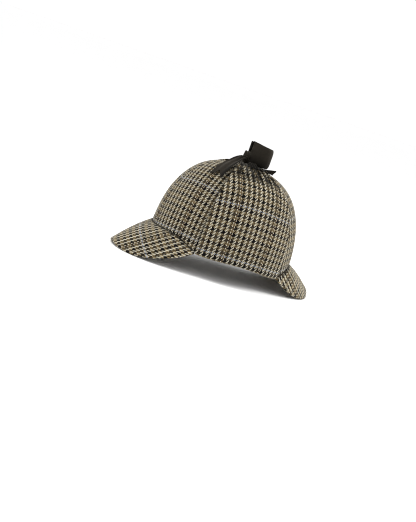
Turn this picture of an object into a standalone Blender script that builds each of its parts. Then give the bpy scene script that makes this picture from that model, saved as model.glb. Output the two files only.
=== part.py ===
"""A tweed deerstalker hat with its ear flaps tied up on top, in metres.

The hat faces -Y, the wearer's left is +X and +Z is up. It stands on the low sides of its two peaks,
and the origin is at the middle of its footprint. Inside this file the crown has a frame of its own:
its centre line is the Z axis and height 0 is where its wall starts to curve in. An empty carries
everything from that frame to the floor.

Azimuth on the crown is 0 at the wearer's left, -90 at the front and +90 at the rear.
"""

import math

import bmesh
import bpy
from mathutils import Vector

# Crown: an oval dome, half-sizes on its outer face.
CROWN_HALF_LENGTH = 0.1010
CROWN_HALF_WIDTH = 0.0810
CROWN_HEIGHT = 0.1290
PLAN_POWER = 2.72
RISE_POWER = 2.49
CROWN_WALL = 0.0020
CROWN_GORES = 6
GORE_COLUMNS = 8
GORE_ROWS = 12
APEX_HOLE_RADIUS = 0.0022

# Gap kept between neighbouring pieces.
GAP = 0.0003

# Height of the crown's lower edge round its left half; the right half mirrors it.
CROWN_EDGE = (
    # azimuth, height
    (-90.0, 0.0222),
    (-58.0, 0.0218),
    (-47.0, 0.0175),
    (-36.0, 0.0107),
    (2.0, 0.0112),
    (39.0, 0.0057),
    (50.0, 0.0130),
    (61.0, 0.0190),
    (90.0, 0.0198),
)

# Ear flaps: two thicknesses of cloth folded up from the hem and narrowing to a gathered tip.
# The fold share is how far out the fold bulges below the crown's edge, in walls.
FLAP_FRONT_AZIMUTH = -36.0
FLAP_REAR_AZIMUTH = 39.0
FLAP_MIDDLE_AZIMUTH = (FLAP_FRONT_AZIMUTH + FLAP_REAR_AZIMUTH) / 2
FLAP_HALF_SPREAD = (FLAP_REAR_AZIMUTH - FLAP_FRONT_AZIMUTH) / 2
FLAP_WALL = 0.0024
FLAP_FOLD_SHARE = 0.6
FLAP_TIP_RADIUS = 0.27
FLAP_COLUMNS = 20
FLAP_ROWS = 14
FLAP_FORM = (
    # way up, share of the full spread, degrees forward, stand-off from the crown
    (0.00, 1.00, 0.0, 0.0003),
    (0.30, 1.00, 0.0, 0.0007),
    (0.65, 1.00, 0.5, 0.0007),
    (0.85, 0.92, 5.0, 0.0008),
    (1.00, 0.78, 12.0, 0.0012),
)
GATHER_START = 0.72
GATHER_DEPTH = 0.0008
GATHER_FOLDS = 4.5

# Peaks: stiffened crescents sewn under the crown's edge. The side is -1 at the front and 1 at the
# rear, the corner is the azimuth where the crescent ends, and the crest is its arch across.
PEAK_WALL = 0.0030
PEAK_COLUMNS = 36
PEAK_ROWS = 5
PEAK_ROOT_DROP = 0.0023
PEAK_END_INSET = 1.2
PEAK_EDGE_BEYOND = 0.0018
FOOT_CUT = 0.0007
FRONT_PEAK = {
    "side": -1,
    "corner": -FLAP_FRONT_AZIMUTH,
    "reach": 0.0462,
    "crest": 0.0042,
    "edge": (
        # degrees from the middle, height of the outer edge
        (-30.0, -0.0193),
        (0.0, -0.0122),
        (30.0, -0.0193),
        (55.0, -0.0142),
        (75.0, -0.0038),
        (90.0, 0.0078),
    ),
}
REAR_PEAK = {
    "side": 1,
    "corner": FLAP_REAR_AZIMUTH,
    "reach": 0.0422,
    "crest": 0.0030,
    "edge": (
        (-30.0, -0.0193),
        (0.0, -0.0112),
        (30.0, -0.0193),
        (55.0, -0.0176),
        (75.0, -0.0092),
        (90.0, 0.0030),
    ),
}

# Ribbon: about one inch wide, tied in a bow over the crown's top.
RIBBON_WALL = 0.0010
RIBBON_COLUMNS = 4
KNOT_FORWARD = 0.0062
KNOT_RADIUS = 0.0052
KNOT_HALF_HEIGHT = 0.0082
KNOT_RISE = 0.0108
KNOT_POWER = 3.4
KNOT_SEGMENTS = 14
KNOT_RINGS = 9
RIBBON_START = KNOT_RADIUS + GAP
TIE_ROWS = 9
TIE_FORM = (
    # way along from the knot to the flap's tip, half width, stand-off from the crown
    (0.00, 0.0070, 0.0006),
    (0.28, 0.0090, 0.0008),
    (0.44, 0.0105, 0.0032),
    (0.60, 0.0120, 0.0061),
    (0.80, 0.0125, 0.0061),
    (1.00, 0.0125, 0.0055),
)
TIE_START = 0.0003
TIE_END = 0.0330
TIE_END_FORWARD = 0.0040
LOOP_STEPS = 26
LOOP_FORM = (
    # way round half the loop, reach, share of the opening, height of the middle, half width
    (0.00, 0.0000, 0.14, 0.0128, 0.0061),
    (0.22, 0.0040, 0.66, 0.0182, 0.0120),
    (0.46, 0.0115, 1.00, 0.0208, 0.0138),
    (0.72, 0.0200, 0.85, 0.0204, 0.0138),
    (0.90, 0.0248, 0.42, 0.0198, 0.0134),
    (1.00, 0.0258, 0.00, 0.0196, 0.0132),
)
# A loop's heading is in plan, 0 at the wearer's left; its openings are to each side of that line.
REAR_LOOP = {"heading": 66.0, "right_opening": 0.0118, "left_opening": 0.0050, "drop": 0.0}
FAR_LOOP = {"heading": 137.0, "right_opening": 0.0056, "left_opening": 0.0060, "drop": 0.0002}
TAIL_ROWS = 14
FRONT_TAIL = {
    "heading": -53.0,
    "length": 0.0635,
    "notch": 0.0075,
    "form": (
        # way along, half width, stand-off of the right side, of the middle and of the left side
        (0.00, 0.0036, 0.0108, 0.0108, 0.0104),
        (0.18, 0.0052, 0.0088, 0.0092, 0.0088),
        (0.40, 0.0072, 0.0052, 0.0062, 0.0068),
        (0.70, 0.0088, 0.0032, 0.0046, 0.0066),
        (1.00, 0.0096, 0.0024, 0.0040, 0.0070),
    ),
}
REAR_TAIL = {
    "heading": 93.0,
    "length": 0.0460,
    "notch": 0.0060,
    "form": (
        (0.00, 0.0036, 0.0047, 0.0047, 0.0047),
        (0.25, 0.0085, 0.0028, 0.0026, 0.0028),
        (0.55, 0.0112, 0.0034, 0.0028, 0.0034),
        (0.80, 0.0122, 0.0052, 0.0044, 0.0048),
        (1.00, 0.0125, 0.0084, 0.0076, 0.0078),
    ),
}

# Edges sharper than this many degrees are not smoothed.
SHARP_ANGLE = 40.0

TWEED_COLOUR = (0.150, 0.128, 0.092)
TWEED_ROUGHNESS = 0.92
RIBBON_COLOUR = (0.022, 0.019, 0.016)
RIBBON_ROUGHNESS = 0.62


def clear_scene():
    for old in list(bpy.data.objects):
        bpy.data.objects.remove(old, do_unlink=True)


def read_table(table, at):
    """The row of a table at a place between its rows, on a smooth curve through all of them."""
    rows = [Vector(row) for row in table]
    place = [row[0] for row in rows]
    at = min(max(at, place[0]), place[-1])
    i = max(k for k in range(len(rows) - 1) if place[k] <= at)

    def slope(k):
        low = max(k - 1, 0)
        high = min(k + 1, len(rows) - 1)
        return (rows[high] - rows[low]) / (place[high] - place[low])

    span = place[i + 1] - place[i]
    s = (at - place[i]) / span
    return (
        rows[i] * (2 * s**3 - 3 * s**2 + 1)
        + slope(i) * span * (s**3 - 2 * s**2 + s)
        + rows[i + 1] * (3 * s**2 - 2 * s**3)
        + slope(i + 1) * span * (s**3 - s**2)
    )


def blend(a, b, share):
    return a + (b - a) * share


def steps(start, end, count):
    """count + 1 evenly spaced values."""
    return [blend(start, end, i / count) for i in range(count + 1)]


def closed_shell(outer, inner):
    """A bmesh with an outer and an inner grid of points, joined along all four sides."""
    mesh = bmesh.new()
    top = [[mesh.verts.new(p) for p in row] for row in outer]
    under = [[mesh.verts.new(p) for p in row] for row in inner]
    last_row = len(top) - 1
    last_column = len(top[0]) - 1
    for r in range(last_row):
        for c in range(last_column):
            mesh.faces.new((top[r][c], top[r][c + 1], top[r + 1][c + 1], top[r + 1][c]))
            mesh.faces.new((under[r][c], under[r + 1][c], under[r + 1][c + 1], under[r][c + 1]))
    for r in range(last_row):
        for c in (0, last_column):
            mesh.faces.new((top[r][c], top[r + 1][c], under[r + 1][c], under[r][c]))
    for c in range(last_column):
        for r in (0, last_row):
            mesh.faces.new((top[r][c], under[r][c], under[r][c + 1], top[r][c + 1]))
    bmesh.ops.recalc_face_normals(mesh, faces=mesh.faces)
    return mesh


def thickened(middle, wall):
    """Outer and inner grids half a wall to each side of a grid of points."""
    last_row = len(middle) - 1
    last_column = len(middle[0]) - 1
    outer = []
    inner = []
    for r, row in enumerate(middle):
        outer.append([])
        inner.append([])
        for c, point in enumerate(row):
            along = row[min(c + 1, last_column)] - row[max(c - 1, 0)]
            across = middle[min(r + 1, last_row)][c] - middle[max(r - 1, 0)][c]
            normal = along.cross(across).normalized()
            outer[r].append(point + normal * wall / 2)
            inner[r].append(point - normal * wall / 2)
    return outer, inner


def make_material(name, colour, roughness):
    material = bpy.data.materials.new(name)
    material.use_nodes = True
    shader = material.node_tree.nodes["Principled BSDF"]
    shader.inputs["Base Color"].default_value = (*colour, 1)
    shader.inputs["Roughness"].default_value = roughness
    shader.inputs["Metallic"].default_value = 0
    return material


def make_object(name, mesh, hat, colour, roughness):
    """Turns a bmesh into a smooth shaded object that the hat's empty carries."""
    data = bpy.data.meshes.new(name)
    mesh.to_mesh(data)
    mesh.free()
    data.shade_smooth()
    data.set_sharp_from_angle(angle=math.radians(SHARP_ANGLE))
    data.materials.append(make_material(name, colour, roughness))
    made = bpy.data.objects.new(name, data)
    made.parent = hat
    bpy.context.scene.collection.objects.link(made)
    return made


def make_tweed(name, mesh, hat):
    return make_object(name, mesh, hat, TWEED_COLOUR, TWEED_ROUGHNESS)


def make_ribbon(name, mesh, hat):
    return make_object(name, mesh, hat, RIBBON_COLOUR, RIBBON_ROUGHNESS)


def mirrored(rows):
    """The same grid for the wearer's right."""
    return [[Vector((-p.x, p.y, p.z)) for p in row] for row in rows]


def crown_point(azimuth, radius, stand_off=0.0):
    """A point over the dome, from its azimuth in degrees and its share of the full radius."""
    turn = math.radians(azimuth)
    height = max(1 - radius**PLAN_POWER, 0) ** (1 / RISE_POWER)
    place = Vector(
        (
            CROWN_HALF_WIDTH * radius * math.cos(turn),
            CROWN_HALF_LENGTH * radius * math.sin(turn),
            CROWN_HEIGHT * height,
        )
    )
    spread = PLAN_POWER * radius ** (PLAN_POWER - 2)
    normal = Vector(
        (
            spread * place.x / CROWN_HALF_WIDTH**2,
            spread * place.y / CROWN_HALF_LENGTH**2,
            RISE_POWER * height ** (RISE_POWER - 1) / CROWN_HEIGHT,
        )
    )
    return place + normal.normalized() * stand_off


def radius_at_height(height):
    share = min(max(height / CROWN_HEIGHT, 0), 1)
    return (1 - share**RISE_POWER) ** (1 / PLAN_POWER)


def height_over(x, y):
    """Height of the dome's outer face above a place in plan."""
    radius = math.hypot(x / CROWN_HALF_WIDTH, y / CROWN_HALF_LENGTH)
    return CROWN_HEIGHT * max(1 - radius**PLAN_POWER, 0) ** (1 / RISE_POWER)


def crown_edge(azimuth):
    """Height of the crown's lower edge, for any azimuth on either side of the hat."""
    turn = math.radians(azimuth)
    left = math.degrees(math.atan2(math.sin(turn), abs(math.cos(turn))))
    return read_table(CROWN_EDGE, left)[1]


def climb(edge_height, top_radius, share):
    """Radius share on the dome, evenly spaced by slope between an edge and a ring near the top."""
    start = math.asin(min((edge_height / CROWN_HEIGHT) ** (RISE_POWER / 2), 1))
    end = math.acos(top_radius ** (PLAN_POWER / 2))
    return math.cos(blend(start, end, share)) ** (2 / PLAN_POWER)


def gore_grid(start, end, stand_off):
    """Rows of points over one gore, from the lower edge to the apex, kept half a gap inside its seams."""
    rows = []
    for share in steps(0, 1, GORE_ROWS):
        row = []
        for azimuth in steps(start, end, GORE_COLUMNS):
            top = APEX_HOLE_RADIUS / CROWN_HALF_WIDTH
            radius = climb(crown_edge(azimuth), top, share)
            margin = math.degrees(GAP / 2 / (radius * CROWN_HALF_WIDTH))
            inset = 1 - 2 * margin / (end - start)
            middle = (start + end) / 2
            row.append(crown_point(middle + (azimuth - middle) * inset, radius, stand_off))
        rows.append(row)
    return rows


def make_gores(hat):
    names = ("side_left", "rear_left", "rear_right", "side_right", "front_right", "front_left")
    spread = 360 / CROWN_GORES
    for i, name in enumerate(names):
        start = (i - 0.5) * spread
        outer = gore_grid(start, start + spread, 0)
        inner = gore_grid(start, start + spread, -CROWN_WALL)
        make_tweed("crown_" + name, closed_shell(outer, inner), hat)


def flap_rows(layer):
    """Rows of a flap's points; layer is 0 on the face against the crown and 1 on the outer face."""
    rows = []
    for share in steps(1, 0, FLAP_ROWS):
        spread, forward, stand_off = read_table(FLAP_FORM, share)[1:]
        gather = max(share - GATHER_START, 0) / (1 - GATHER_START)
        row = []
        for s in steps(-1, 1, FLAP_COLUMNS):
            azimuth = FLAP_MIDDLE_AZIMUTH - forward + s * FLAP_HALF_SPREAD * spread
            fold = GATHER_DEPTH * gather * (1 + math.cos(s * math.pi * GATHER_FOLDS))
            hem = crown_edge(FLAP_MIDDLE_AZIMUTH + s * FLAP_HALF_SPREAD)
            radius = climb(hem, FLAP_TIP_RADIUS, share)
            row.append(crown_point(azimuth, radius, stand_off + fold + layer * FLAP_WALL))
        rows.append(row)
    return rows


def flap_lip(layer):
    """The two rows that carry the fold under the crown's edge."""
    rows = []
    for stand_off in (GAP + layer * FLAP_WALL * FLAP_FOLD_SHARE, -CROWN_WALL):
        row = []
        for s in steps(-1, 1, FLAP_COLUMNS):
            azimuth = FLAP_MIDDLE_AZIMUTH + s * FLAP_HALF_SPREAD
            height = crown_edge(azimuth)
            point = crown_point(azimuth, radius_at_height(height), stand_off)
            point.z = height - GAP - layer * FLAP_WALL
            row.append(point)
        rows.append(row)
    return rows


def make_flaps(hat):
    outer = flap_rows(1) + flap_lip(1)
    inner = flap_rows(0) + flap_lip(0)
    make_tweed("ear_flap_left", closed_shell(outer, inner), hat)
    make_tweed("ear_flap_right", closed_shell(mirrored(outer), mirrored(inner)), hat)


def peak_root(peak, turn, stand_off):
    """A point of the seam under the crown's edge; turn is degrees from the peak's middle."""
    end = 90 - peak["corner"] - PEAK_END_INSET
    azimuth = peak["side"] * (90 - turn / 90 * end)
    height = crown_edge(azimuth)
    point = crown_point(azimuth, radius_at_height(height), stand_off)
    return Vector((point.x, point.y, height - PEAK_ROOT_DROP))


def peak_edge(peak, turn):
    """A point of the outer edge, which in plan is half an oval."""
    corner = math.radians(peak["corner"] + PEAK_END_INSET)
    half_width = CROWN_HALF_WIDTH * math.cos(corner) + PEAK_EDGE_BEYOND
    start = CROWN_HALF_LENGTH * math.sin(corner)
    length = CROWN_HALF_LENGTH + peak["reach"] - start
    swing = math.radians(turn)
    return Vector(
        (
            half_width * math.sin(swing),
            peak["side"] * (start + length * math.cos(swing)),
            read_table(peak["edge"], abs(turn))[1],
        )
    )


def peak_rows(peak):
    """A flange under the crown's edge, then the crescent."""
    rows = [[peak_root(peak, turn, -CROWN_WALL) for turn in steps(-90, 90, PEAK_COLUMNS)]]
    for share in steps(0, 1, PEAK_ROWS):
        row = []
        for turn in steps(-90, 90, PEAK_COLUMNS):
            point = blend(peak_root(peak, turn, 0), peak_edge(peak, turn), share)
            crest = peak["crest"] * math.cos(math.radians(turn)) ** 0.5 if abs(turn) < 90 else 0
            point.z += crest * 4 * share * (1 - share)
            row.append(point)
        rows.append(row)
    return rows


def peak_mesh(peak):
    outer, inner = thickened(peak_rows(peak), PEAK_WALL)
    return closed_shell(outer, inner)


def flatten_below(mesh, height):
    """Cuts the little flats that the cloth edge rests on."""
    bmesh.ops.bisect_plane(
        mesh,
        geom=mesh.verts[:] + mesh.edges[:] + mesh.faces[:],
        plane_co=(0, 0, height),
        plane_no=(0, 0, 1),
        clear_inner=True,
    )
    bmesh.ops.holes_fill(mesh, edges=[edge for edge in mesh.edges if edge.is_boundary])
    bmesh.ops.recalc_face_normals(mesh, faces=mesh.faces)


def make_peaks(hat):
    """Both peaks, cut to one floor height, which is returned."""
    meshes = {"front_peak": peak_mesh(FRONT_PEAK), "rear_peak": peak_mesh(REAR_PEAK)}
    lowest = max(min(v.co.z for v in mesh.verts) for mesh in meshes.values())
    floor = lowest + FOOT_CUT
    for name, mesh in meshes.items():
        flatten_below(mesh, floor)
        make_tweed(name, mesh, hat)
    return floor


def make_knot(hat):
    """A rounded barrel of wrapped ribbon."""
    mesh = bmesh.new()
    bmesh.ops.create_uvsphere(mesh, u_segments=KNOT_SEGMENTS, v_segments=KNOT_RINGS, radius=1)
    for vert in mesh.verts:
        x, y, z = vert.co
        norm = (math.hypot(x, y) ** KNOT_POWER + abs(z) ** KNOT_POWER) ** (1 / KNOT_POWER)
        vert.co = (
            KNOT_RADIUS * x / norm,
            KNOT_RADIUS * y / norm - KNOT_FORWARD,
            KNOT_HALF_HEIGHT * z / norm + CROWN_HEIGHT + KNOT_RISE,
        )
    make_ribbon("bow_knot", mesh, hat)


def strip_rows(places, layer):
    """Rows over the crown from (x, y, stand-off) places; layer lifts them by the ribbon's thickness."""
    return [
        [Vector((x, y, height_over(x, y) + lift + layer * RIBBON_WALL)) for x, y, lift in row]
        for row in places
    ]


def make_ties(hat):
    """The ribbon from the knot to each flap's tip, lying on the crown and then on the flap."""
    places = []
    for share in steps(0, 1, TIE_ROWS):
        half_width, stand_off = read_table(TIE_FORM, share)[1:]
        x = blend(TIE_START, TIE_END, share)
        y = -blend(KNOT_FORWARD, TIE_END_FORWARD, share)
        places.append([(x, y + s * half_width, stand_off) for s in steps(-1, 1, RIBBON_COLUMNS)])
    outer = strip_rows(places, 1)
    inner = strip_rows(places, 0)
    make_ribbon("tie_left", closed_shell(outer, inner), hat)
    make_ribbon("tie_right", closed_shell(mirrored(outer), mirrored(inner)), hat)


def tail_places(tail):
    heading = math.radians(tail["heading"])
    along = Vector((math.cos(heading), math.sin(heading), 0))
    aside = Vector((-along.y, along.x, 0))
    places = []
    for share in steps(0, 1, TAIL_ROWS):
        half_width, right_off, middle_off, left_off = read_table(tail["form"], share)[1:]
        row = []
        for s in steps(-1, 1, RIBBON_COLUMNS):
            length = tail["length"] - tail["notch"] * (1 - abs(s))
            point = along * blend(RIBBON_START, length, share) + aside * s * half_width
            stand_off = blend(middle_off, left_off if s > 0 else right_off, abs(s))
            row.append((point.x, point.y - KNOT_FORWARD, stand_off))
        places.append(row)
    return places


def make_tail(name, tail, hat):
    places = tail_places(tail)
    make_ribbon(name, closed_shell(strip_rows(places, 1), strip_rows(places, 0)), hat)


def make_loop(name, loop, hat):
    """A loop of ribbon standing on its edge, out from the knot, round and back."""
    heading = math.radians(loop["heading"])
    along = Vector((math.cos(heading), math.sin(heading), 0))
    aside = Vector((-along.y, along.x, 0))
    middle = []
    for share in steps(-1, 1, LOOP_STEPS):
        reach, opening, rise, half_width = read_table(LOOP_FORM, 1 - abs(share))[1:]
        side = opening * (loop["left_opening"] if share > 0 else -loop["right_opening"])
        centre = along * (RIBBON_START + reach) + aside * side
        centre.y -= KNOT_FORWARD
        centre.z = CROWN_HEIGHT + rise - loop["drop"]
        middle.append([centre + Vector((0, 0, s * half_width)) for s in (-1, 0, 1)])
    outer, inner = thickened(middle, RIBBON_WALL)
    make_ribbon(name, closed_shell(outer, inner), hat)


def stand_on_floor(hat, floor):
    """Moves the hat so that its footprint's middle is the origin and its feet are at height 0."""
    bpy.context.view_layer.update()
    lengths = [(made.matrix_world @ v.co).y for made in hat.children for v in made.data.vertices]
    hat.location = (0, -(min(lengths) + max(lengths)) / 2, -floor)


def main():
    clear_scene()
    hat = bpy.data.objects.new("hat", None)
    bpy.context.scene.collection.objects.link(hat)
    make_gores(hat)
    make_flaps(hat)
    floor = make_peaks(hat)
    make_knot(hat)
    make_ties(hat)
    make_loop("bow_loop_rear", REAR_LOOP, hat)
    make_loop("bow_loop_far", FAR_LOOP, hat)
    make_tail("bow_tail_front", FRONT_TAIL, hat)
    make_tail("bow_tail_rear", REAR_TAIL, hat)
    stand_on_floor(hat, floor)


main()
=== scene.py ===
"""A tweed deerstalker hat with its ear flaps tied up over the crown by a dark ribbed ribbon.

The hat faces -Y, the wearer's left is +X and +Z is up, in metres. Azimuth on the crown is 0 at the
wearer's left, -90 at the front and +90 at the rear. A sheet is a grid of points whose rows go up and
whose columns go to the right, seen from its outer face.
"""

import math

import bpy
import numpy as np
from mathutils import Matrix, Vector


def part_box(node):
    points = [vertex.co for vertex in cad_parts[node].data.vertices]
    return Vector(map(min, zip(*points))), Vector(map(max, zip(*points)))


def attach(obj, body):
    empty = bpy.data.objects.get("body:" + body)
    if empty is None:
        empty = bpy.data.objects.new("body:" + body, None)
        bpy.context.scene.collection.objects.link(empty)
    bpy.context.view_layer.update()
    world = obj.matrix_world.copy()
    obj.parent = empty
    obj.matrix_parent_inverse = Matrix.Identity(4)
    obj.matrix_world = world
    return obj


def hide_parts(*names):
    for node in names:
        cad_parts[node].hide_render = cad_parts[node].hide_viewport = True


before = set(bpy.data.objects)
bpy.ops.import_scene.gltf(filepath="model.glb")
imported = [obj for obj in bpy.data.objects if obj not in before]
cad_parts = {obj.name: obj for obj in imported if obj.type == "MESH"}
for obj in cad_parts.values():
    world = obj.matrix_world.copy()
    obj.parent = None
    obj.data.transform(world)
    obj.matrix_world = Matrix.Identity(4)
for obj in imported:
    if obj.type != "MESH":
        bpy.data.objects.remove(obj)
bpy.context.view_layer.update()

# The crown's dome: half-sizes on its outer face, and its centre line's foot in the frame.
HALF_LENGTH = 0.1010
HALF_WIDTH = 0.0810
HEIGHT = 0.1290
PLAN_POWER = 2.72
RISE_POWER = 2.49
CROWN_WALL = 0.0020
LOW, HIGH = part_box("crown_side_left")
CENTRE = np.array((0.0, (LOW.y + HIGH.y) / 2, HIGH.z - HEIGHT))

CROWN_EDGE = (
    # azimuth, height of the crown's lower edge
    (-90.0, 0.0222),
    (-58.0, 0.0218),
    (-47.0, 0.0175),
    (-36.0, 0.0107),
    (2.0, 0.0112),
    (39.0, 0.0057),
    (50.0, 0.0130),
    (61.0, 0.0190),
    (90.0, 0.0198),
)

# The coarse grid on which a piece is laid flat to find its place on the cloth.
PATTERN_ROWS = 15
PATTERN_COLUMNS = 13
UNWRAP_STEPS = 20

# The gores: six sectors of the dome. A pair of numbers says where a smooth step starts and ends, a
# shade is the share by which colour is darkened as painted shade, and an ease is how much rows crowd at
# the edges.
GORE_SPREAD = 60.0
APEX_RADIUS = 0.012
GORE_COLUMNS = 56
GORE_COLUMN_EASE = 0.86
GORE_ROWS = 76
GORE_ROW_EASE = 0.8
EDGE_ROUND = 0.0010
APEX_ROUND = 0.0006
SEAM_ROUND = 0.0022
SEAM_DEPTH = 0.0011
SEAM_CLEAR = 0.001
SEAM_ALLOWANCE = (0.0070, 0.0078)
HEM_ALLOWANCE = (0.0090, 0.0098)
ALLOWANCE_WALL = 0.0009
PUCKER_STEP = 0.0085
PUCKER_DRIFT = 0.013
PUCKER_DEPTH = 0.00013
PUCKER_REACH = 0.004
SLACK_DEPTH = 0.0002
SLACK_UP = 0.017
SLACK_ACROSS = 0.012
SLACK_FROM_SEAM = (0.002, 0.015)
SLACK_FROM_HEM = (0.0, 0.01)
# Painted shade in the seams' grooves, on both faces.
SEAM_SHADE = 0.75
SEAM_SHADE_REACH = 0.0006

# The ear flaps: the middle's azimuth, half the width in degrees and the gathers towards the tip.
FLAP_MIDDLE = 1.5
FLAP_HALF = 37.5
FLAP_WALL = 0.0024
FLAP_TIP_RADIUS = 0.27
FLAP_COLUMNS = 168
FLAP_COLUMN_EASE = 0.8
FLAP_ROWS = 120
FLAP_ROW_EASE = 0.6
FLAP_EDGE_ROUND = 0.0014
FLAP_TURNED = 0.00022
FLAP_TURNED_WIDTH = (0.0060, 0.0072)
FLAP_FORM = (
    # way up, share of the full spread, degrees forward, stand-off from the crown
    (0.00, 1.00, 0.0, 0.0003),
    (0.30, 1.00, 0.0, 0.0007),
    (0.65, 1.00, 0.5, 0.0007),
    (0.85, 0.92, 5.0, 0.0008),
    (1.00, 0.78, 12.0, 0.0012),
)
PLEATS = 6.5
PLEAT_RISE = (0.74, 0.97)
PLEAT_DEPTH = 0.0030
FAR_PLEAT_DEPTH = 0.0003
FAR_LOWER = 0.22
FAR_NARROWER = 0.14
FAR_NARROWING = (0.6, 1)
FAR_FORWARD = 0.4
# Painted shade in the gathers and over the tip under the bow, and along the flaps' edges.
PLEAT_SHADE = 0.97
PLEAT_TOP_SHADE = 0.35
PLEAT_SHADE_RISE = (0.68, 0.80)
TIP_SHADE = 0.9
TIP_SHADE_RISE = (0.84, 0.96)
FLAP_EDGE_SHADE = 0.40
FLAP_EDGE_SHADE_REACH = 0.0005
FLAP_UNDER_SHADE_REACH = 0.0012
# Painted shadow on the crown under the ear flaps and beside their edges, fading out above their tips.
FLAP_SHADOW = 0.6
FLAP_SHADOW_REACH = 0.0030
FLAP_SHADOW_END = (1.0, 1.12)
# A flap's fold round the crown's edge, down to its inner layer's upper edge.
HEM_STEPS = 12
HEM_DROP = 0.0016
HEM_INSIDE = -0.0010
HEM_INNER_EDGE = -0.0020

# The peaks: stiff crescents, each with a lip of seam allowance turned up inside the crown.
PEAK_WALL = 0.0030
PEAK_COLUMNS = 150
PEAK_COLUMN_EASE = 0.55
PEAK_ROWS = 44
PEAK_ROW_EASE = 0.75
PEAK_EDGE_ROUND = 0.0015
PEAK_TURNED = 0.0003
PEAK_TURNED_WIDTH = (0.0055, 0.0068)
PEAK_ROOT_DROP = 0.0018
# Painted shade along the peak's seam with the crown, and painted light lifting the rest of the peak's
# colour.
PEAK_SEAM_SHADE = 0.92
PEAK_SEAM_SHADE_REACH = 0.0011
PEAK_PAINTED_LIGHT = 0.15
PEAK_LIP = 0.0030
PEAK_LIP_WALL = 0.0012
PEAK_LIP_GAP = 0.0003
PEAK_LIP_INSET = CROWN_WALL + ALLOWANCE_WALL + PEAK_LIP_GAP + PEAK_LIP_WALL / 2
PEAK_LIP_ROWS = (0, 0.12, 0.5, 0.85, 1)
PEAK_BEND_ROWS = (0.15, 0.5, 0.85)
PEAK_THICKENS = (0.0006, 0.0020)
PEAK_END_INSET = 0.5
PEAK_EDGE_BEYOND = 0.0018
PEAKS = {
    "front_peak": {
        "side": -1,
        "corner": 36.0,
        "reach": 0.0462,
        "crest": 0.0042,
        "edge": (
            # degrees from the middle, height of the outer edge
            (-30.0, -0.0193),
            (0.0, -0.0168),
            (30.0, -0.0193),
            (55.0, -0.0142),
            (75.0, -0.0038),
            (90.0, 0.0078),
        ),
    },
    "rear_peak": {
        "side": 1,
        "corner": 39.0,
        "reach": 0.0422,
        "crest": 0.0030,
        "edge": (
            (-30.0, -0.0193),
            (0.0, -0.0112),
            (30.0, -0.0193),
            (55.0, -0.0176),
            (75.0, -0.0092),
            (90.0, 0.0030),
        ),
    },
}

# The ribbon, its knot ahead of the dome's top, and the ties, loops and tails that start there.
RIBBON_WALL = 0.0007
RIBBON_WIDTH = 0.0265
RIBBON_COLUMNS = 32
RIBBON_COLUMN_EASE = 0.6
RIBBON_SIDE_ROUND = 0.0005
RIBBON_END_ROUND = 0.0004
KNOT_FORWARD = 0.0062
KNOT_RADIUS = 0.0052
KNOT_HALF_HEIGHT = 0.0082
KNOT_RISE = 0.0108
KNOT_POWER = 3.4
KNOT_SQUARENESS = 0.8
KNOT_STEPS = 72
KNOT_COLUMNS = 40
KNOT_PLEAT_DEPTH = 0.0005
KNOT_FLARE = 0.0018
KNOT_FLARE_RISE = 0.0012
KNOT_CLOTH_RADIUS = 0.0067
RIBBON_GAP = 0.0003
RIBBON_START = KNOT_RADIUS + RIBBON_GAP
TIE_FORM = (
    # way along from the knot to the flap's tip, half width, stand-off from the crown
    (0.00, 0.0046, 0.0017),
    (0.28, 0.0046, 0.0018),
    (0.44, 0.0048, 0.0030),
    (0.60, 0.0052, 0.0068),
    (0.80, 0.0056, 0.0072),
    (1.00, 0.0060, 0.0062),
)
TIE_ROWS = 40
TIE_PLEATS = 3.0
TIE_PLEAT_DEPTH = 0.0015
TIE_PLEAT_LOSS = 0.3
# Painted shade over the tie from a little way past the knot out to the flap's tip.
TIE_SHADE = 0.9
TIE_SHADE_RISE = (0.15, 0.4)
FAR_TIE_LOWER = 0.0032
FAR_TIE_LOWERING = (0.36, 0.6)
TIE_START = 0.0003
TIE_END = 0.0330
TIE_END_FORWARD = 0.0040
LOOP_STATIONS = 97
LOOP_BULGE = 0.08
LOOP_CRUMPLE = 0.0007
# Painted shade on the loop's last stretch back into the knot, and growing towards its lower edge.
LOOP_SHADE = 0.85
LOOP_SHADE_RISE = (0.62, 0.80)
LOOP_FOOT_SHADE = 0.75
LOOP_FOOT_SHADE_RISE = (-0.5, 1.1)
TAIL_ROWS = 64
TAIL_CRUMPLE = 0.0015
TAIL_CRUMPLE_LOSS = 0.7
TAIL_CRUMPLE_FALL = (0.05, 0.75)
# Painted shadow along a tail's lifted edge.
TAIL_EDGE_SHADE = 0.8
TAIL_EDGE_SHADE_RISE = (0.25, 0.75)
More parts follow.
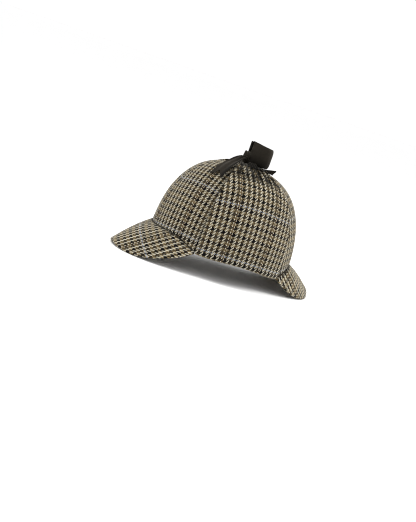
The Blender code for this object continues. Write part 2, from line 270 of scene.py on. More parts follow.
LOOPS = {
    "bow_loop_rear": {
        "heading": 66.0,
        "path": (
            # place from the right side's start to the left side's end, reach, aside, middle, half width
            (-1.00, -0.0024, -0.0061, 0.0184, 0.0138),
            (-0.94, -0.0012, -0.0068, 0.0190, 0.0150),
            (-0.78, 0.0032, -0.0094, 0.0191, 0.0150),
            (-0.54, 0.0114, -0.0122, 0.0186, 0.0145),
            (-0.28, 0.0204, -0.0106, 0.0182, 0.0139),
            (-0.10, 0.0252, -0.0058, 0.0177, 0.0136),
            (0.00, 0.0262, -0.0004, 0.0176, 0.0134),
            (0.10, 0.0252, 0.0030, 0.0176, 0.0132),
            (0.28, 0.0204, 0.0054, 0.0177, 0.0130),
            (0.54, 0.0110, 0.0066, 0.0182, 0.0134),
            (0.78, 0.0024, 0.0066, 0.0188, 0.0144),
            (0.92, -0.0030, 0.0064, 0.0190, 0.0148),
            (1.00, -0.0054, 0.0063, 0.0180, 0.0136),
        ),
    },
    "bow_loop_far": {
        "heading": 137.0,
        "path": (
            (-1.00, 0.0000, -0.0008, 0.0140, 0.0076),
            (-0.90, 0.0016, -0.0024, 0.0165, 0.0112),
            (-0.78, 0.0042, -0.0038, 0.0180, 0.0130),
            (-0.54, 0.0115, -0.0056, 0.0186, 0.0130),
            (-0.28, 0.0200, -0.0049, 0.0184, 0.0124),
            (-0.10, 0.0246, -0.0026, 0.0182, 0.0121),
            (0.00, 0.0256, 0.0000, 0.0182, 0.0119),
            (0.10, 0.0246, 0.0028, 0.0184, 0.0121),
            (0.28, 0.0200, 0.0053, 0.0190, 0.0126),
            (0.54, 0.0115, 0.0060, 0.0196, 0.0132),
            (0.78, 0.0042, 0.0040, 0.0184, 0.0130),
            (0.90, 0.0016, 0.0026, 0.0165, 0.0112),
            (1.00, 0.0000, 0.0008, 0.0140, 0.0076),
        ),
    },
}
TAILS = {
    "bow_tail_front": {
        "heading": -53.0,
        "length": 0.0635,
        "notch": 0.0075,
        # painted shade from the tail's root at the knot to its end
        "root_shade": 0.4,
        "shade": 0.05,
        "form": (
            # way along, half width, stand-off of the right side, of the middle and of the left side
            (0.00, 0.0046, 0.0100, 0.0112, 0.0104),
            (0.18, 0.0062, 0.0080, 0.0098, 0.0092),
            (0.40, 0.0078, 0.0046, 0.0068, 0.0072),
            (0.70, 0.0090, 0.0028, 0.0050, 0.0066),
            (1.00, 0.0096, 0.0024, 0.0042, 0.0066),
        ),
    },
    "bow_tail_rear": {
        "heading": 74.0,
        "length": 0.0425,
        "notch": 0.0,
        # painted shade all along this tail, under the bow
        "root_shade": 0.85,
        "shade": 0.85,
        "form": (
            (0.00, 0.0036, 0.0047, 0.0047, 0.0047),
            (0.25, 0.0080, 0.0022, 0.0024, 0.0014),
            (0.60, 0.0095, 0.0042, 0.0026, 0.0010),
            (0.80, 0.0095, 0.0072, 0.0040, 0.0008),
            (1.00, 0.0095, 0.0104, 0.0054, 0.0006),
        ),
    },
}

# The cloth: the size of a thread each way, threads per check and how often the overcheck comes.
WARP_PITCH = 0.000875
WEFT_PITCH = 0.001065
CHECK_THREADS = 8
OVERCHECK_THREADS = 64
TWILL_THREADS = 4.0
TWEED_BUMP = 0.00022
RIB_PITCH = 0.0011
RIBBON_SELVEDGE = 0.0011
RIBBON_BUMP = 0.00012

# How each piece is cut: the grain's turn in degrees, its squeeze, and the piece's place on the cloth.
CUT = {
    "crown_front_left": (6.0, 0.87, -0.0100, -0.0025),
    "crown_front_right": (-6.0, 0.87, 0.0100, -0.0025),
    "crown_side_left": (0.0, 1.0, 0.0100, 0.0100),
    "crown_side_right": (0.0, 1.0, 0.0200, 0.0050),
    "crown_rear_left": (0.0, 1.0, 0.0040, 0.0030),
    "crown_rear_right": (0.0, 1.0, 0.0130, 0.0030),
    "ear_flap_left": (-2.5, 1.0, 0.0320, -0.0075),
    "ear_flap_right": (2.5, 1.0, 0.0301, -0.0081),
    "front_peak": (-18.0, 0.84, -0.0029, -0.0246),
    "rear_peak": (0.0, 1.0, 0.0, 0.0120),
}

# The camera: the photograph's angle to the hat and its distance from the middle of the crown.
CAMERA_AZIMUTH = 65.782
CAMERA_ELEVATION = 7.471
CAMERA_ROLL = 19.403
CAMERA_DISTANCE = 1.350
CAMERA_TARGET_RISE = 0.058
PIXELS_PER_METRE = 742.0
IMAGE_WIDTH = 416
IMAGE_HEIGHT = 522
TARGET_PIXEL = (230.541, 216.015)
SENSOR_WIDTH = 36.0

# The studio.
FLOOR_HALF_SIZE = 40.0
FLOOR_HEIGHT = -0.0002
LAMP_DISTANCE = 1.6
LAMP_SIZE = 0.9
LAMP_TARGET_HEIGHT = 0.08


def blend(a, b, share):
    """A value between two others: a at share 0 and b at share 1."""
    return a + (b - a) * share


def smooth(value, low, high):
    """0 up to low, 1 from high on, and a smooth step between."""
    share = np.clip((value - low) / (high - low), 0, 1)
    return share * share * (3 - 2 * share)


def eased(count, ease):
    """Values from 0 to 1 that lie closer together towards both ends."""
    even = np.linspace(0, 1, count + 1)
    return even - ease * np.sin(2 * np.pi * even) / (2 * np.pi)


def centred(count, ease):
    """The same from -1 to 1."""
    return 2 * eased(count, ease) - 1


def read_table(table, at):
    """A table's columns at places between its rows, on a smooth curve through all of them."""
    rows = np.array(table)
    place = rows[:, 0]
    value = rows[:, 1:]
    last = len(rows) - 1
    low = np.maximum(np.arange(last + 1) - 1, 0)
    high = np.minimum(np.arange(last + 1) + 1, last)
    slope = (value[high] - value[low]) / (place[high] - place[low])[:, None]
    at = np.clip(np.asarray(at, float), place[0], place[-1])
    k = np.clip(np.searchsorted(place, at, side="right") - 1, 0, last - 1)
    span = (place[k + 1] - place[k])[..., None]
    s = (at - place[k])[..., None] / span
    curve = (
        value[k] * (2 * s**3 - 3 * s**2 + 1)
        + slope[k] * span * (s**3 - 2 * s**2 + s)
        + value[k + 1] * (3 * s**2 - 2 * s**3)
        + slope[k + 1] * span * (s**3 - s**2)
    )
    return np.moveaxis(curve, -1, 0)


def crown_point(azimuth, radius, lift=0.0):
    """Points over the dome, from azimuth in degrees and share of the full radius."""
    turn = np.radians(azimuth)
    height = np.maximum(1 - radius**PLAN_POWER, 0) ** (1 / RISE_POWER)
    x = HALF_WIDTH * radius * np.cos(turn)
    y = HALF_LENGTH * radius * np.sin(turn)
    place = np.stack(np.broadcast_arrays(x, y, HEIGHT * height), -1)
    spread = PLAN_POWER * radius ** (PLAN_POWER - 2)
    steep = RISE_POWER * height ** (RISE_POWER - 1) / HEIGHT
    normal = np.stack(
        np.broadcast_arrays(spread * x / HALF_WIDTH**2, spread * y / HALF_LENGTH**2, steep), -1
    )
    normal /= np.linalg.norm(normal, axis=-1, keepdims=True)
    return CENTRE + place + normal * np.asarray(lift)[..., None]


def radius_at_height(height):
    """Share of the full radius at a height above the dome's foot."""
    share = np.clip(height / HEIGHT, 0, 1)
    return (1 - share**RISE_POWER) ** (1 / PLAN_POWER)


def height_over(x, y):
    """Height of the dome's outer face over places in plan, above the dome's foot."""
    radius = np.hypot(x / HALF_WIDTH, y / HALF_LENGTH)
    return HEIGHT * np.maximum(1 - radius**PLAN_POWER, 0) ** (1 / RISE_POWER)


def on_left(azimuth):
    """Azimuths with those of the right half mirrored to the left half."""
    turn = np.radians(azimuth)
    return np.degrees(np.arctan2(np.sin(turn), np.abs(np.cos(turn))))


def crown_edge(azimuth):
    """Height of the crown's lower edge above the dome's foot."""
    return read_table(CROWN_EDGE, on_left(azimuth))[0]


def climb_ends(edge_height, top_radius):
    """The dome's slope angle at an edge and at a ring near the top."""
    start = np.arcsin(np.minimum((edge_height / HEIGHT) ** (RISE_POWER / 2), 1))
    return start, math.acos(top_radius ** (PLAN_POWER / 2))


def climb(edge_height, top_radius, share):
    """Radius share on the dome, evenly spaced by slope between an edge and a ring near the top."""
    start, end = climb_ends(edge_height, top_radius)
    return np.cos(blend(start, end, share)) ** (2 / PLAN_POWER)


def run(points, axis):
    """Distance along a grid's lines from where each of them starts."""
    step = np.linalg.norm(np.diff(points, axis=axis), axis=-1)
    start = np.zeros_like(step.take([0], axis))
    return np.concatenate([start, np.cumsum(step, axis=axis)], axis=axis)


def from_edges(points):
    """Distance of a grid's points from its left, right, lower and upper edge."""
    across = run(points, 1)
    up = run(points, 0)
    return across, across[:, -1:] - across, up, up[-1:] - up


def rim(distance, size):
    """A quarter-round profile: 0 at an edge and 1 from size inwards."""
    share = np.clip(distance / size, 0, 1)
    return np.sqrt(1 - (1 - share) ** 2)


def normals(points):
    """Unit normals of a grid, out of its outer face."""
    normal = np.cross(np.gradient(points, axis=1), np.gradient(points, axis=0))
    return normal / np.maximum(np.linalg.norm(normal, axis=-1, keepdims=True), 1e-12)


def grid_faces(index):
    """The four-cornered faces between a grid's points, given the points' numbers."""
    return np.stack([index[:-1, :-1], index[:-1, 1:], index[1:, 1:], index[1:, :-1]], -1).reshape(-1, 4)


def make_mesh(name, points, faces, cloth):
    """A smooth shaded object whose map "Cloth" says where each point lies on the flat cloth, in metres."""
    data = bpy.data.meshes.new(name)
    data.from_pydata(points.tolist(), [], faces)
    layer = data.uv_layers.new(name="Cloth")
    corners = np.empty(len(data.loops), np.int32)
    data.loops.foreach_get("vertex_index", corners)
    layer.uv.foreach_set("vector", cloth[corners].astype(np.float32).ravel())
    data.shade_smooth()
    made = bpy.data.objects.new(name, data)
    bpy.context.scene.collection.objects.link(made)
    return made


def split_corners(faces, on_edge):
    """Splits a sheet's corner faces from the corner inwards, so that its two sides share no diagonal."""
    split = []
    for face in faces.tolist():
        free = [k for k in range(4) if not on_edge[face[k]]]
        if len(free) == 1:
            a, b, c, d = face[free[0]:] + face[: free[0]]
            split += [[a, b, c], [a, c, d]]
        else:
            split.append(face)
    return split


def make_sheet(name, middle, out, into, cloth, shade, under_shade):
    """A closed sheet round its middle surface; out and into are how far its faces stand off it."""
    normal = normals(middle)
    inside = np.zeros(middle.shape[:2], bool)
    inside[1:-1, 1:-1] = True
    edge = ~inside
    outer = middle + normal * np.where(edge, 0, out)[..., None]
    inner = middle - normal * np.where(edge, 0, into)[..., None]
    index = np.arange(outer[..., 0].size).reshape(outer.shape[:2])
    under = index.copy()
    under[inside] = index.size + np.arange(inside.sum())
    points = np.concatenate([outer.reshape(-1, 3), inner[inside]])
    points[:, 2] = np.maximum(points[:, 2], 0)
    faces = np.concatenate([grid_faces(index), grid_faces(under)[:, ::-1]])
    faces = split_corners(faces, np.concatenate([edge.ravel(), np.zeros(inside.sum(), bool)]))
    places = np.concatenate([cloth.reshape(-1, 2), cloth[inside]])
    made = make_mesh(name, points, faces, places)
    shade = np.broadcast_to(shade, inside.shape).ravel()
    under_shade = np.broadcast_to(under_shade, inside.shape)[inside]
    # Painted shade: the share by which the material darkens each point's colour, outer face then inner
    # face; a negative share is painted light.
    layer = made.data.attributes.new("PaintedShade", "FLOAT", "POINT")
    layer.data.foreach_set("value", np.concatenate([shade, under_shade]).astype(np.float32))
    return made


def between(places, values, count):
    """Values given at some rows of a grid, for all of its rows."""
    table = np.column_stack([places, values.reshape(len(places), -1)])
    return read_table(table, np.arange(count)).T.reshape(count, *values.shape[1:])


def flattened(points):
    """Where a grid's points lie on the flat cloth, with the foot of its middle column at 0, 0."""
    rows = np.linspace(0, points.shape[0] - 1, PATTERN_ROWS).round().astype(int)
    columns = np.linspace(0, points.shape[1] - 1, PATTERN_COLUMNS).round().astype(int)
    coarse = points[rows][:, columns]
    count = coarse[..., 0].size
    faces = grid_faces(np.arange(count).reshape(coarse.shape[:2]))
    pattern = make_mesh("pattern", coarse.reshape(-1, 3), faces.tolist(), np.zeros((count, 2)))
    bpy.context.view_layer.objects.active = pattern
    pattern.select_set(True)
    bpy.ops.object.mode_set(mode="EDIT")
    bpy.ops.mesh.select_all(action="SELECT")
    bpy.ops.uv.unwrap(method="MINIMUM_STRETCH", margin=0, iterations=UNWRAP_STEPS)
    bpy.ops.object.mode_set(mode="OBJECT")
    loops = np.empty(len(pattern.data.loops) * 2, np.float32)
    pattern.data.uv_layers[0].uv.foreach_get("vector", loops)
    flat = np.empty((count, 2))
    flat[faces.ravel()] = loops.reshape(-1, 2)
    bpy.data.objects.remove(pattern, do_unlink=True)
    flat = flat.reshape(*coarse.shape[:2], 2)
    middle = PATTERN_COLUMNS // 2
    flat -= flat[0, middle]
    x, y = flat[-1, middle] / np.linalg.norm(flat[-1, middle])
    flat = flat @ np.array(((y, x), (-x, y)))
    flat = between(rows, flat, points.shape[0]).swapaxes(0, 1)
    flat = between(columns, flat, points.shape[1]).swapaxes(0, 1)
    return flat * math.sqrt(area(points) / area(np.pad(flat, ((0, 0), (0, 0), (0, 1)))))


def area(points):
    """Area of a grid of points."""
    rising = points[1:, 1:] - points[:-1, :-1]
    falling = points[:-1, 1:] - points[1:, :-1]
    return float(np.linalg.norm(np.cross(rising, falling), axis=-1).sum() / 2)


def on_cloth(node, flat):
    """A piece's places on the length of cloth that it is cut from."""
    turn, squeeze, along, up = CUT[node]
    c = math.cos(math.radians(turn))
    s = math.sin(math.radians(turn))
    return flat @ np.array(((c / squeeze, -s), (s / squeeze, c))) + (along, up)


def put_in_place(piece, node, material):
    """Gives a sheet its material and hands it to the frame in place of its node."""
    piece.data.materials.append(material)
    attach(piece, "root")
    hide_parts(node)


def flap_form(share, far):
    """Spread, degrees forward and stand-off of a flap at shares of the way up; the far one differs."""
    spread, forward, stand_off = read_table(FLAP_FORM, share)
    spread = spread - far * FAR_NARROWER * smooth(share, *FAR_NARROWING)
    return spread, forward * np.where(far, FAR_FORWARD, 1), stand_off


def beside_flap(azimuth, radius):
    """Painted shadow on the crown under the ear flaps and just beside their edges."""
    left = on_left(azimuth)
    edge = crown_edge(FLAP_MIDDLE + np.sign(left - FLAP_MIDDLE) * FLAP_HALF)
    start, end = climb_ends(edge, FLAP_TIP_RADIUS)
    share = (np.arccos(radius ** (PLAN_POWER / 2)) - start) / (end - start)
    spread, forward = flap_form(share, np.cos(np.radians(azimuth)) < 0)[:2]
    beyond = np.maximum(np.abs(left - FLAP_MIDDLE + forward) - FLAP_HALF * spread, 0)
    gap = np.radians(beyond) * radius * HALF_LENGTH
    return FLAP_SHADOW * np.exp(-gap / FLAP_SHADOW_REACH) * (1 - smooth(share, *FLAP_SHADOW_END))


def make_gore(side, number, material):
    """One of the crown's gores, its edges turned in along the seams and pressed open inside."""
    node = "crown_" + side
    start = (number - 0.5) * GORE_SPREAD
    azimuth = start + eased(GORE_COLUMNS, GORE_COLUMN_EASE)[None, :] * GORE_SPREAD
    radius = climb(crown_edge(azimuth), APEX_RADIUS, eased(GORE_ROWS, GORE_ROW_EASE)[:, None])
    skin = crown_point(azimuth, radius)
    left, right, below, above = from_edges(skin)
    seam = np.minimum(left, right)
    turned = 1 - rim(seam, SEAM_ROUND)
    off_seam = smooth(seam, 0, SEAM_CLEAR)
    pucker = np.sin(2 * np.pi * below / PUCKER_STEP + 2 * np.sin(below / PUCKER_DRIFT + number))
    slack = SLACK_DEPTH * np.sin(below / SLACK_UP + number) * np.sin(left / SLACK_ACROSS + 2 * number)
    lift = -CROWN_WALL / 2 - SEAM_DEPTH * turned
    lift += PUCKER_DEPTH * pucker * np.exp(-seam / PUCKER_REACH) * off_seam
    lift += slack * smooth(seam, *SLACK_FROM_SEAM) * smooth(below, *SLACK_FROM_HEM)
    middle = crown_point(azimuth, radius, lift)
    round_rim = rim(seam, EDGE_ROUND) * rim(below, EDGE_ROUND) * rim(above, APEX_ROUND)
    allowance = ALLOWANCE_WALL * (1 - smooth(seam, *SEAM_ALLOWANCE))
    allowance = np.maximum(allowance, ALLOWANCE_WALL * (1 - smooth(below, *HEM_ALLOWANCE)))
    cloth = flattened(skin)
    out = CROWN_WALL / 2 * round_rim
    into = (CROWN_WALL / 2 + allowance * off_seam) * round_rim
    # Painted shade in the seams, and on the outer face a painted shadow under and beside the ear flaps.
    under_shade = SEAM_SHADE * np.exp(-seam / SEAM_SHADE_REACH)
    shade = np.maximum(under_shade, beside_flap(azimuth, radius))
    piece = make_sheet(node + "_cloth", middle, out, into, on_cloth(node, cloth), shade, under_shade)
    put_in_place(piece, node, material)


def flap_grid(mirror):
    """Azimuth, radius, lift and painted shade of an ear flap's points from the hem up to the gathered tip.
    """
    across = centred(FLAP_COLUMNS, FLAP_COLUMN_EASE)[None, :]
    share = eased(FLAP_ROWS, FLAP_ROW_EASE)[:, None]
    spread, forward, stand_off = flap_form(share, mirror)
    pleat_depth = FAR_PLEAT_DEPTH if mirror else PLEAT_DEPTH
    azimuth = FLAP_MIDDLE - forward + across * FLAP_HALF * spread
    radius = climb(crown_edge(FLAP_MIDDLE + across * FLAP_HALF), FLAP_TIP_RADIUS, share)
    gather = smooth(share, *PLEAT_RISE)
    phase = across + 0.04 * np.sin(5 * across + 1) + 0.012 * np.sin(17 * across)
    ridge = (0.5 + 0.5 * np.cos(phase * np.pi * PLEATS)) ** 0.8
    stand_off = stand_off - FAR_LOWER * (PLEAT_DEPTH - pleat_depth) * gather
    lift = stand_off + FLAP_WALL / 2 + pleat_depth * gather * ridge
    # Painted shade in the pleats' valleys, lighter on their ridges, and over the whole tip under the bow.
    shade = smooth(share, *PLEAT_SHADE_RISE) * blend(PLEAT_SHADE, PLEAT_TOP_SHADE, ridge**2)
    shade = np.maximum(shade, TIP_SHADE * smooth(share, *TIP_SHADE_RISE))
    return azimuth, radius, lift, shade


def flap_hem(azimuth, lift):
    """The rows that carry a flap's fold under the crown's edge, from the inside out."""
    edge = crown_edge(azimuth)
    rows = []
    for turn in np.linspace(math.pi / 2, 0, HEM_STEPS, endpoint=False):
        row = crown_point(azimuth, radius_at_height(edge), blend(HEM_INSIDE, lift, math.cos(turn)))
        row[:, 2] = CENTRE[2] + edge - HEM_DROP * math.sin(turn)
        rows.append(row)
    last = rows[0].copy()
    last[:, :2] = crown_point(azimuth, radius_at_height(edge), HEM_INNER_EDGE)[:, :2]
    return np.array([last] + rows)


def make_flap(node, mirror, material):
    """An ear flap folded up from the hem, lying on the crown, with its tip drawn into pleats."""
    azimuth, radius, lift, shade = flap_grid(mirror)
    flat_azimuth = FLAP_MIDDLE + centred(FLAP_COLUMNS, FLAP_COLUMN_EASE) * FLAP_HALF
    hem = flap_hem(flat_azimuth, lift[0])
    middle = np.concatenate([hem, crown_point(azimuth, radius, lift)])
    plain = np.concatenate([hem, crown_point(flat_azimuth, radius, FLAP_WALL)])
    shade = np.concatenate([np.zeros(hem.shape[:2]), shade])
    if mirror:
        middle = middle[:, ::-1] * (-1, 1, 1)
        plain = plain[:, ::-1] * (-1, 1, 1)
        shade = shade[:, ::-1]
    left, right, below, above = from_edges(middle)
    side = np.minimum(left, right)
    round_rim = rim(side, FLAP_EDGE_ROUND) * rim(below, EDGE_ROUND) * rim(above, FLAP_EDGE_ROUND)
    turned = FLAP_TURNED * (1 - smooth(side, *FLAP_TURNED_WIDTH))
    cloth = flattened(plain)
    # Painted shade along the flap's edges, stronger on its underside where it meets the crown.
    under_shade = np.maximum(shade, SEAM_SHADE * np.exp(-side / FLAP_UNDER_SHADE_REACH))
    shade = np.maximum(shade, FLAP_EDGE_SHADE * np.exp(-side / FLAP_EDGE_SHADE_REACH))
    out = (FLAP_WALL / 2 + turned) * round_rim
    into = FLAP_WALL / 2 * round_rim
    piece = make_sheet(node + "_cloth", middle, out, into, on_cloth(node, cloth), shade, under_shade)
    put_in_place(piece, node, material)


def peak_root(peak, turn, stand_off, rise):
    """Points along the seam with the crown's edge; turn is degrees from the peak's middle."""
    end = 90 - peak["corner"] - PEAK_END_INSET
    azimuth = peak["side"] * (90 - turn / 90 * end)
    height = crown_edge(azimuth)
    points = crown_point(azimuth, radius_at_height(height), stand_off)
    points[:, 2] = CENTRE[2] + height + rise
    return points


def peak_edge(peak, turn):
    """Points of the outer edge, which in plan is half an oval."""
    corner = math.radians(peak["corner"] + PEAK_END_INSET)
    half_width = HALF_WIDTH * math.cos(corner) + PEAK_EDGE_BEYOND
    start = HALF_LENGTH * math.sin(corner)
    length = HALF_LENGTH + peak["reach"] - start
    swing = np.radians(turn)
    x = half_width * np.sin(swing)
    y = peak["side"] * (start + length * np.cos(swing))
    return CENTRE + np.stack([x, y, read_table(peak["edge"], np.abs(turn))[0]], -1)


def make_peak(node, peak, material):
    """A stiffened crescent between two faces of cloth, its seam turned up inside the crown."""
    turn = peak["side"] * (180 * eased(PEAK_COLUMNS, PEAK_COLUMN_EASE) - 90)
    lip = peak_root(peak, turn, -PEAK_LIP_INSET, PEAK_LIP)
    bend = peak_root(peak, turn, -PEAK_LIP_INSET, -PEAK_ROOT_DROP)
    root = peak_root(peak, turn, 0, -PEAK_ROOT_DROP)
    edge = peak_edge(peak, turn)
    crest = peak["crest"] * np.maximum(np.cos(np.radians(turn)), 0) ** 0.5
    rows = [blend(lip, bend, share) for share in PEAK_LIP_ROWS]
    rows += [blend(bend, root, share) for share in PEAK_BEND_ROWS]
    for share in eased(PEAK_ROWS, PEAK_ROW_EASE):
        row = blend(root, edge, share)
        row[:, 2] += crest * 4 * share * (1 - share)
        rows.append(row)
    middle = np.array(rows)
    left, right, below, above = from_edges(middle)
    side = np.minimum(left, right)
    round_rim = rim(above, PEAK_EDGE_ROUND) * rim(below, EDGE_ROUND) * rim(side, EDGE_ROUND)
    turned = PEAK_TURNED * (1 - smooth(above, *PEAK_TURNED_WIDTH))
    seam = PEAK_LIP + PEAK_ROOT_DROP + PEAK_LIP_INSET
    thickens = (seam - PEAK_LIP_INSET - PEAK_THICKENS[0], seam - PEAK_THICKENS[1])
    wall = blend(PEAK_LIP_WALL, PEAK_WALL, smooth(below, *thickens))
    half = (wall / 2 + turned) * round_rim
    past_seam = np.maximum(below - seam, 0)
    # Painted shade along the seam with the crown; past it the shade turns negative, painted light that
    # lightens the whole peak.
    shade = (PEAK_SEAM_SHADE + PEAK_PAINTED_LIGHT) * np.exp(-past_seam / PEAK_SEAM_SHADE_REACH)
    shade -= PEAK_PAINTED_LIGHT
    cloth = flattened(middle)
    piece = make_sheet(node + "_cloth", middle, half, half, on_cloth(node, cloth), shade, shade)
    put_in_place(piece, node, material)


def ribbon_across():
    """Places over the ribbon's width, from -1 to 1, one for each column."""
    return centred(RIBBON_COLUMNS, RIBBON_COLUMN_EASE)[None, :]


def make_strip(node, middle, material, shade):
    """A length of ribbon; its columns reach over the ribbon's whole width, however it is gathered."""
    left, right, below, above = from_edges(middle)
    sides = rim(np.minimum(left, right), RIBBON_SIDE_ROUND)
    ends = rim(np.minimum(below, above), RIBBON_END_ROUND)
    half = RIBBON_WALL / 2 * (sides * ends)
    along = run(middle, 0)[:, [middle.shape[1] // 2]]
    cloth = np.stack(np.broadcast_arrays(ribbon_across() * RIBBON_WIDTH / 2, along), -1)
    piece = make_sheet(node + "_ribbon", middle, half, half, cloth, shade, shade)
    put_in_place(piece, node, material)


def over_crown(x, y, lift):
    """Points straight above places in plan, at a height over the crown's outer face."""
    return CENTRE + np.stack(np.broadcast_arrays(x, y, height_over(x, y) + lift), -1)


def make_tie(node, mirror, material):
    """The gathered ribbon from the knot down to a flap's tip."""
    share = eased(TIE_ROWS, 0.5)[:, None]
    across = ribbon_across()
    half_width, stand_off = read_table(TIE_FORM, share)
    x = blend(TIE_START, TIE_END, share)
    y = -blend(KNOT_FORWARD, TIE_END_FORWARD, share) + across * half_width
    pleats = TIE_PLEAT_DEPTH * (1 - TIE_PLEAT_LOSS * share) * np.cos(across * TIE_PLEATS * np.pi)
    lower = smooth(share, *FAR_TIE_LOWERING) * FAR_TIE_LOWER if mirror else 0
    middle = over_crown(x, y, stand_off + RIBBON_WALL / 2 + pleats - lower)
    middle = middle * (-1, 1, 1) if mirror else middle[:, ::-1]
    # Painted shade over the tie beyond the first part of its way from the knot.
    make_strip(node, middle, material, TIE_SHADE * smooth(share, *TIE_SHADE_RISE))


def make_tail(node, tail, material):
    """A free end of the ribbon; a notch makes it a swallowtail."""
    heading = math.radians(tail["heading"])
    share = eased(TAIL_ROWS, 0.6)[:, None]
    across = ribbon_across()
    half_width, right_off, middle_off, left_off = read_table(tail["form"], share)
    reach = blend(RIBBON_START, tail["length"] - tail["notch"] * (1 - np.abs(across)), share)
    aside = across * half_width
    x = reach * math.cos(heading) - aside * math.sin(heading)
    y = reach * math.sin(heading) + aside * math.cos(heading) - KNOT_FORWARD
    side_off = np.where(across > 0, left_off, right_off)
    stand_off = blend(middle_off, side_off, np.abs(across) ** 1.4)
    crumple = 1 - TAIL_CRUMPLE_LOSS * smooth(share, *TAIL_CRUMPLE_FALL)
    crumple = TAIL_CRUMPLE * crumple * np.cos(across * 7 + 0.6)
    middle = over_crown(x, y, stand_off + RIBBON_WALL / 2 + crumple)
    # Painted shadow along the lifted edge, and painted shade from the root to the end.
    edge_shade = TAIL_EDGE_SHADE * smooth(across, *TAIL_EDGE_SHADE_RISE)
    shade = np.maximum(edge_shade, blend(tail["root_shade"], tail["shade"], share))
    make_strip(node, middle[:, ::-1], material, shade[:, ::-1])


def make_loop(node, loop, material):
    """A loop of ribbon standing on its edge, out from the knot, round and back."""
    heading = math.radians(loop["heading"])
    along = np.array((math.cos(heading), math.sin(heading), 0))
    aside = np.array((-along[1], along[0], 0))
    share = np.linspace(-1, 1, LOOP_STATIONS)[:, None]
    across = ribbon_across()
    reach, side, rise, half_width = read_table(loop["path"], share)
    crumple = LOOP_CRUMPLE * smooth(np.abs(share), 0.80, 1.0) * np.cos(across * 10)
    bulge = 1 - LOOP_BULGE * across**6 * smooth(1 - np.abs(share), 0.1, 0.6)
    side = side * bulge + crumple
    middle = CENTRE + along * (RIBBON_START + reach * bulge)[..., None] + aside * side[..., None]
    middle[..., 1] -= KNOT_FORWARD
    middle[..., 2] += HEIGHT + rise + across * half_width
    # Painted shade on the loop's last stretch, and towards its lower edge.
    shade = LOOP_SHADE * smooth(share, *LOOP_SHADE_RISE)
    shade = np.maximum(shade, LOOP_FOOT_SHADE * smooth(-across, *LOOP_FOOT_SHADE_RISE))
    make_strip(node, middle[:, ::-1], material, shade[:, ::-1])


def make_knot(material):
    """The ribbon wrapped over the middle of the bow, drawn into lengthwise pleats."""
    turn = np.linspace(0, 2 * np.pi, KNOT_STEPS, endpoint=False)[:, None]
    across = centred(KNOT_COLUMNS, 0.7)[None, :]
    fall = np.maximum(1 - np.abs(across) ** KNOT_POWER, 0) ** (1 / KNOT_POWER)
    round_x = np.sign(np.cos(turn)) * np.abs(np.cos(turn)) ** KNOT_SQUARENESS
    round_z = np.sign(np.sin(turn)) * np.abs(np.sin(turn)) ** KNOT_SQUARENESS
    pleat = KNOT_PLEAT_DEPTH * np.cos(across * 11 + 0.8 * np.sin(turn)) * fall
    flare = np.exp(-(((across + 0.75) / 0.3) ** 2) - ((turn - 1.2) / 0.5) ** 2)
    x = round_x * (KNOT_RADIUS * fall + pleat)
    y = KNOT_RADIUS * across - KNOT_FORWARD - KNOT_FLARE * flare
    z = round_z * (KNOT_HALF_HEIGHT * fall + pleat) + HEIGHT + KNOT_RISE + KNOT_FLARE_RISE * flare
    points = np.stack([x, y, z], -1) + CENTRE
    cloth = np.stack(np.broadcast_arrays(across * RIBBON_WIDTH / 2, turn * KNOT_CLOTH_RADIUS), -1)
    first = KNOT_STEPS * (KNOT_COLUMNS - 1)
    last = first + 1
    index = np.arange(first).reshape(KNOT_STEPS, -1)
    index = np.concatenate([index, index[:1]])
    faces = grid_faces(index)[:, ::-1].tolist()
    for row, after in zip(index[:-1], index[1:]):
        faces += [[first, after[0], row[0]], [after[-1], last, row[-1]]]
    ends = [points[:, 0].mean(0), points[:, -1].mean(0)]
    points = np.concatenate([points[:, 1:-1].reshape(-1, 3), ends])
    cloth = np.concatenate([cloth[:, 1:-1].reshape(-1, 2), cloth[0, [0, -1]]])
    piece = make_mesh("bow_knot_ribbon", points, faces, cloth)
    piece.data.materials.append(material)
    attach(piece, "root")
    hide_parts("bow_knot")


